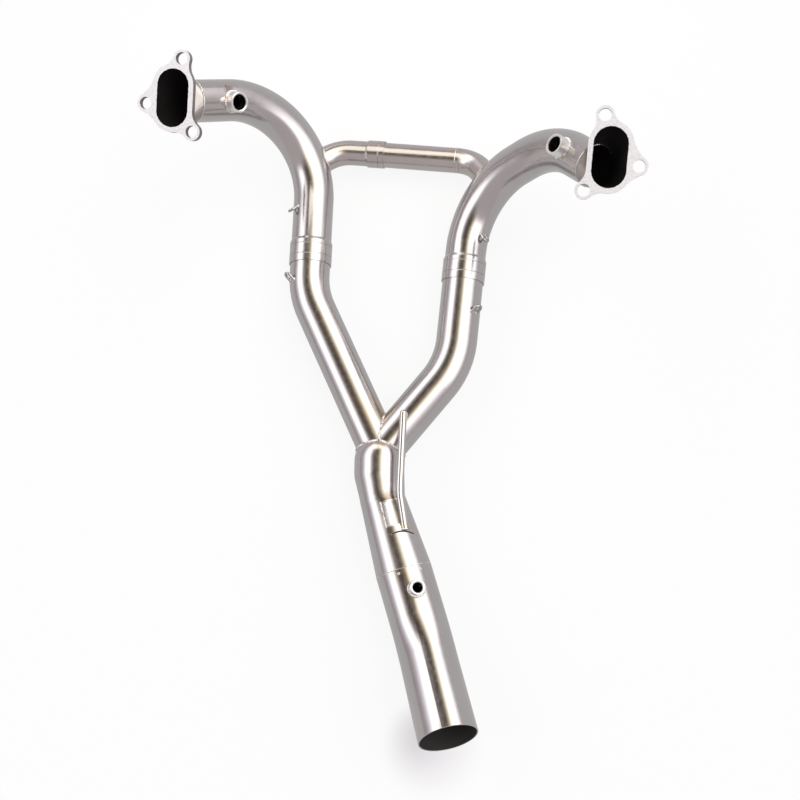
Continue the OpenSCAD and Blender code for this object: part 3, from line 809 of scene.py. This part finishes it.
def crotch_path():
    """The mitre between the two branches, as far as it lies outside the dome."""
    upwards = crotch_way.cross(mitre).normalized()
    made = []
    for angle in range(-88, 90, 2):
        way = crotch_way * math.cos(math.radians(angle)) + upwards * math.sin(math.radians(angle))
        square = (way - left_way * way.dot(left_way)).length
        spot = MERGE + way * (HEADER_RADIUS - CROTCH_SINK) * MILLIMETRE / square
        if (spot - DOME).length > (SHELL_RADIUS - CROTCH_CLEAR) * MILLIMETRE:
            made.append(spot)
    return made


def dome_path(way, inner_side):
    """Seam between the dome and the branch that runs along way, on its side of the mitre."""
    upwards = way.cross(inner_side).normalized()
    inwards = upwards.cross(way).normalized()
    if inwards.dot(inner_side) < 0:
        inwards = -inwards
    made = []
    for angle in range(2, 360, 3):
        out = inwards * math.cos(math.radians(angle)) + upwards * math.sin(math.radians(angle))
        start = MERGE + out * HEADER_RADIUS * MILLIMETRE - DOME
        half = start.dot(way)
        root = half * half - start.length_squared + (SHELL_RADIUS * MILLIMETRE) ** 2
        if root > 0:
            spot = DOME + start + way * (math.sqrt(root) - half)
            if (spot - MERGE).dot(inner_side) < 0:
                made.append(spot)
    return made


# The straw tint on the dome is heat tint, and the brown one beside the brace rod is painted shade
# in the pocket
collector_steel = satin_steel("collector_steel", SATIN_COLOUR, SATIN_ROUGHNESS + 0.02,
                              tints=((DOME_TINT, 0.026, STRAW, 0.45),
                                     (POCKET_SHADE, 0.017, BROWN, 0.75)))
# Painted shadow of the slit under the relief plate's lower end
add_painted_shade(collector_steel, painted_slit_shadow(collector_steel.node_tree))
finish_nodes(collector_steel, "collector_shell")
lay_bead("crotch_weld", crotch_path(), width=3.8, closed=False)
lay_bead("left_dome_weld", dome_path(left_way, mitre), width=3.8, closed=False)
lay_bead("right_dome_weld", dome_path(right_way, -mitre), width=4.4, closed=False)


# Outlet tube
# A bent 60 mm steel tube with an open end for the silencer, butt welded to the wide end of
# the collector. Its bead is ground down, with two tacks left standing, and is left off
# where the tube touches the floor. The inside of the open end is painted black as shade.
OUTLET_RADIUS = 30
OUTLET_MOUTH = place(113, -285, 50)
CONE_LENGTH = 80
SEAM_SINK = 0.5
# The bead ends this far below the middle of the tube, as a share of its radius
SEAM_END = 0.8
SEAM_TINT_RISE = 0.03
OUTLET_SHADE = 0.93
OUTLET_SHADE_START = (0.02, 0.03)
SEAM_TACKS = (("first_seam_tack", place(41.3, -129.5, 35.0)),
              ("second_seam_tack", place(62.3, -121.4, 27.5)))
TACK_RADIUS = 1.0
TACK_STEP = 20
outlet_way = (OUTLET_MOUTH - OUTLET_KNEE).normalized()
seam_centre = WAIST + cone_way * CONE_LENGTH * MILLIMETRE

outlet_steel = satin_steel(
    "outlet_steel", SATIN_COLOUR, SATIN_ROUGHNESS,
    tints=((seam_centre + Vector((0, 0, SEAM_TINT_RISE)), 0.02, STRAW, 0.25),))
tree = outlet_steel.node_tree
# Painted shade: the inside of the open end is painted black
past_knee = along_axis(tree, object_spot(tree), OUTLET_KNEE, outlet_way)
far_enough = span(tree, past_knee, *OUTLET_SHADE_START, 0.0, OUTLET_SHADE)
add_painted_shade(outlet_steel, product(tree, facing_inwards(tree, OUTLET_KNEE, outlet_way), far_enough))
finish_nodes(outlet_steel, "outlet_tube")
seam_ring = ring(seam_centre, cone_way, OUTLET_RADIUS - SEAM_SINK)
low = seam_centre.z - SEAM_END * OUTLET_RADIUS * MILLIMETRE
first_low = next(index for index, spot in enumerate(seam_ring) if spot.z < low)
turned_ring = seam_ring[first_low:] + seam_ring[:first_low]
lay_bead("outlet_weld", [spot for spot in turned_ring if spot.z >= low], width=1.4, closed=False)
for name, spot in SEAM_TACKS:
    lay_bead(name, ring(spot, (spot - seam_centre).normalized(), TACK_RADIUS, TACK_STEP),
             width=1.8)


# Relief plate and brace rod
# A trough pressed from steel sheet and let into the collector, tacked down its left edge in
# a zigzag. A bent 8 mm steel rod, welded at both ends, braces the right branch against it.
RELIEF_COLOUR = (0.66, 0.64, 0.63)
RELIEF_ROUGHNESS = 0.26
RELIEF_SIDE = Vector((0.35, 0.1, 0.93))
RELIEF_START = 6
RELIEF_LENGTH = 29
RELIEF_RADIUS = 18
RELIEF_DEPTH = 6.5
WAIST_RADIUS = 24.4
# The zigzag's half width, its steps to a millimetre, and its steps to one side
ZIGZAG = 0.7
STEPS_PER_MILLIMETRE = 2
STEPS_PER_SIDE = 2
ROD_COLOUR = (0.62, 0.60, 0.60)
ROD_ROUGHNESS = 0.17
ROD_RADIUS = 4
ROD_TOP = place(24, 40, 26.4)
ROD_KINK = place(31, -45, 30)
ROD_FOOT = place(41, -82, 25.6)
ROD_BEAD_SINK = 0.4


def relief_edge(hand):
    """Edge between the trough and the cone, on one hand of the trough."""
    side = (RELIEF_SIDE - cone_way * RELIEF_SIDE.dot(cone_way)).normalized()
    beside = cone_way.cross(side)
    growth = (OUTLET_RADIUS - WAIST_RADIUS) / CONE_LENGTH
    middle = WAIST_RADIUS + growth * (RELIEF_START + RELIEF_LENGTH) + RELIEF_RADIUS - RELIEF_DEPTH
    made = []
    for step in range(0, STEPS_PER_MILLIMETRE * RELIEF_LENGTH + 1):
        down = RELIEF_START + step / STEPS_PER_MILLIMETRE
        radius = WAIST_RADIUS + growth * down
        depth = (middle ** 2 + radius ** 2 - RELIEF_RADIUS ** 2) / (2 * middle)
        width = math.sqrt(radius ** 2 - depth ** 2)
        zigzag = ZIGZAG if step // STEPS_PER_SIDE % 2 == 0 else -ZIGZAG
        made.append(WAIST + (cone_way * down + side * depth
                    + beside * hand * (width + zigzag)) * MILLIMETRE)
    return made


relief_steel = satin_steel("relief_steel", RELIEF_COLOUR, RELIEF_ROUGHNESS,
                           tints=((ROD_FOOT, 0.016, BLUED, 0.4),))
rod_steel = satin_steel("rod_steel", ROD_COLOUR, ROD_ROUGHNESS,
                        tints=((ROD_FOOT, 0.014, STRAW, 0.5), (ROD_TOP, 0.012, STRAW, 0.3)))
finish_nodes(relief_steel, "relief_plate")
finish_nodes(rod_steel, "brace_rod")
lay_bead("relief_left_weld", relief_edge(1), width=1.8, closed=False)
lay_bead("relief_right_weld", relief_edge(-1), width=1.6, closed=False)
lay_bead("rod_foot_weld", ring(ROD_FOOT, (ROD_FOOT - ROD_KINK).normalized(),
         ROD_RADIUS - ROD_BEAD_SINK), width=2.2)


# Spring hooks
# Closed staples of 3 mm stainless wire, welded to the tubes by both feet on either side of
# each slip joint. The springs hook into them.
HOOK_COLOUR = (0.46, 0.44, 0.43)
HOOK_ROUGHNESS = 0.14
# A corner of the hook this near its tube is in a foot, and one foot is this long at most
TOUCHING = 0.5
FOOT_REACH = 4.5
FOOT_BEAD_RADIUS = 1.7
hook_steel = satin_steel("hook_wire_steel", HOOK_COLOUR, HOOK_ROUGHNESS)

for hook, tube in (("left_upper_hook", "left_header_tube"),
                   ("left_lower_hook", "left_branch_tube"),
                   ("right_upper_hook", "right_header_tube"),
                   ("right_lower_hook", "right_branch_tube")):
    finish_nodes(hook_steel, hook)
    touching = []
    for vertex in frame["nodes"][hook].data.vertices:
        found, spot, normal, _ = frame["nodes"][tube].closest_point_on_mesh(vertex.co)
        if found and (spot - vertex.co).length < TOUCHING * MILLIMETRE:
            touching.append((spot, normal))
    first = touching[0][0]
    for foot in (0, 1):
        group = [(spot, normal) for spot, normal in touching
                 if ((spot - first).length > FOOT_REACH * MILLIMETRE) == bool(foot)]
        middle = sum((spot for spot, _ in group), Vector()) / len(group)
        outward = sum((normal for _, normal in group), Vector()).normalized()
        lay_bead(f"{hook}_foot_{foot + 1}", ring(middle, outward, FOOT_BEAD_RADIUS, TACK_STEP),
                 width=1.5)
